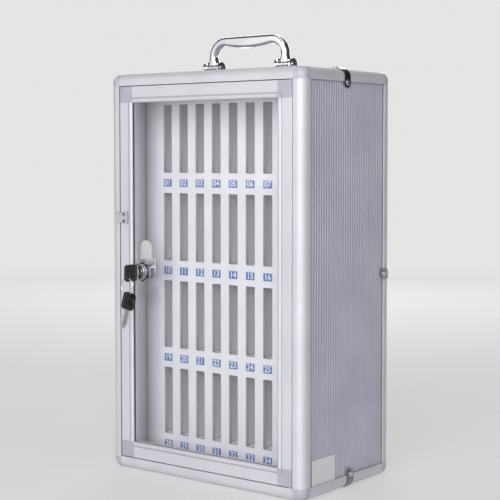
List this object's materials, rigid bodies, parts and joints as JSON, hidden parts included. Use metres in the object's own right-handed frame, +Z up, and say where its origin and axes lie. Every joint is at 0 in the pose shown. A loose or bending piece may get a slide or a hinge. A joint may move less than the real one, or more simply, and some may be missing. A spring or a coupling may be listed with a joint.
{
  "type": "cell phone locker box",
  "caption": "Portable aluminium case with a clear hinged door, cam lock with two keys and carry handle, and a white face of numbered upright phone slots.",
  "frame": {"origin": "on the surface the box stands on, under the middle of the case", "axes": "+X to the right along the front, +Y from the front to the rear, +Z up"},
  "size_m": [0.3052, 0.2216, 0.5468],
  "materials": {
    "case_profile": "satin anodised extrusion",
    "corner_plastic": "fine grained grey moulding",
    "ribbed_skin": "satin ribbed sheet",
    "plain_skin": "satin sheet",
    "white_board": "smooth white board",
    "blue_label": "printed label",
    "door_profile": "satin anodised extrusion",
    "door_corner_plastic": "smooth grey moulding",
    "clear_acrylic": "polished clear acrylic",
    "gasket_rubber": "soft grey strip",
    "pin_steel": "turned steel",
    "nylon": "natural nylon",
    "chrome": "bright plated",
    "cam_plate": "zinc plated sheet",
    "key_plastic": "black moulding",
    "key_steel": "nickel plated"
  },
  "bodies": {
    "case": {"front_top_profile": "case_profile", "front_bottom_profile": "case_profile", "front_left_profile": "case_profile", "front_right_profile": "case_profile", "rear_top_profile": "case_profile", "rear_bottom_profile": "case_profile", "rear_left_profile": "case_profile", "rear_right_profile": "case_profile", "top_left_profile": "case_profile", "top_right_profile": "case_profile", "bottom_left_profile": "case_profile", "bottom_right_profile": "case_profile", "front_corner_caps": "corner_plastic", "rear_corner_caps": "corner_plastic", "left_panel": "ribbed_skin", "right_panel": "ribbed_skin", "top_panel": "ribbed_skin", "back_panel": "plain_skin", "bottom_panel": "plain_skin", "left_liner": "white_board", "right_liner": "white_board", "floor_liner": "white_board", "ceiling_liner": "white_board", "back_liner": "white_board", "slot_face": "white_board", "pocket_dividers": "white_board", "pocket_shelves": "white_board", "number_labels": "blue_label", "door_stops": "gasket_rubber", "hinge_washer": "nylon", "edge_clips": "chrome", "clip_rivets": "pin_steel", "handle_feet": "chrome", "handle_pins": "pin_steel", "foot_rivets": "pin_steel"},
    "door": {"door_left_stile": "door_profile", "door_right_stile": "door_profile", "door_top_rail": "door_profile", "door_bottom_rail": "door_profile", "door_corner_top_left": "door_corner_plastic", "door_corner_top_right": "door_corner_plastic", "door_corner_bottom_left": "door_corner_plastic", "door_corner_bottom_right": "door_corner_plastic", "door_acrylic": "clear_acrylic", "door_gasket": "gasket_rubber", "glazing_seal": "gasket_rubber", "pivot_pins": "pin_steel", "pull_clip": "chrome", "pull_clip_rivets": "pin_steel", "lock_housing": "chrome", "lock_nut": "chrome"},
    "lock_cylinder": {"lock_plug": "chrome", "lock_cam": "cam_plate", "cam_screw": "pin_steel"},
    "key": {"key_bow": "key_plastic", "key_blade": "key_steel"},
    "key_ring": {"key_ring": "chrome"},
    "spare_key": {"spare_key_bow": "key_plastic", "spare_key_blade": "key_steel"},
    "handle": {"handle_grip": "chrome"}
  },
  "joints": [
    {"name": "door_hinge", "type": "hinge", "parent": "case", "child": "door", "pos_m": [0.1305, -0.0895, 0], "axis": [0, 0, 1], "range_deg": [0, 95]},
    {"name": "lock_turn", "type": "hinge", "parent": "door", "child": "lock_cylinder", "pos_m": [-0.1005, -0.091, 0.2524], "axis": [0, -1, 0], "range_deg": [0, 90]},
    {"name": "key_pull", "type": "slide", "parent": "lock_cylinder", "child": "key", "axis": [0, -1, 0], "range_m": [0, 0.021]},
    {"name": "ring_swing", "type": "hinge", "parent": "key", "child": "key_ring", "pos_m": [-0.1005, -0.1169, 0.2462], "axis": [1, 0, 0], "range_deg": [-60, 8]},
    {"name": "spare_key_swing", "type": "hinge", "parent": "key_ring", "child": "spare_key", "pos_m": [-0.1005, -0.1169, 0.2267], "axis": [1, 0, 0], "range_deg": [-35, 12]},
    {"name": "handle_fold", "type": "hinge", "parent": "case", "child": "handle", "pos_m": [0, 0, 0.509], "axis": [1, 0, 0], "range_deg": [-90, 90]}
  ]
}
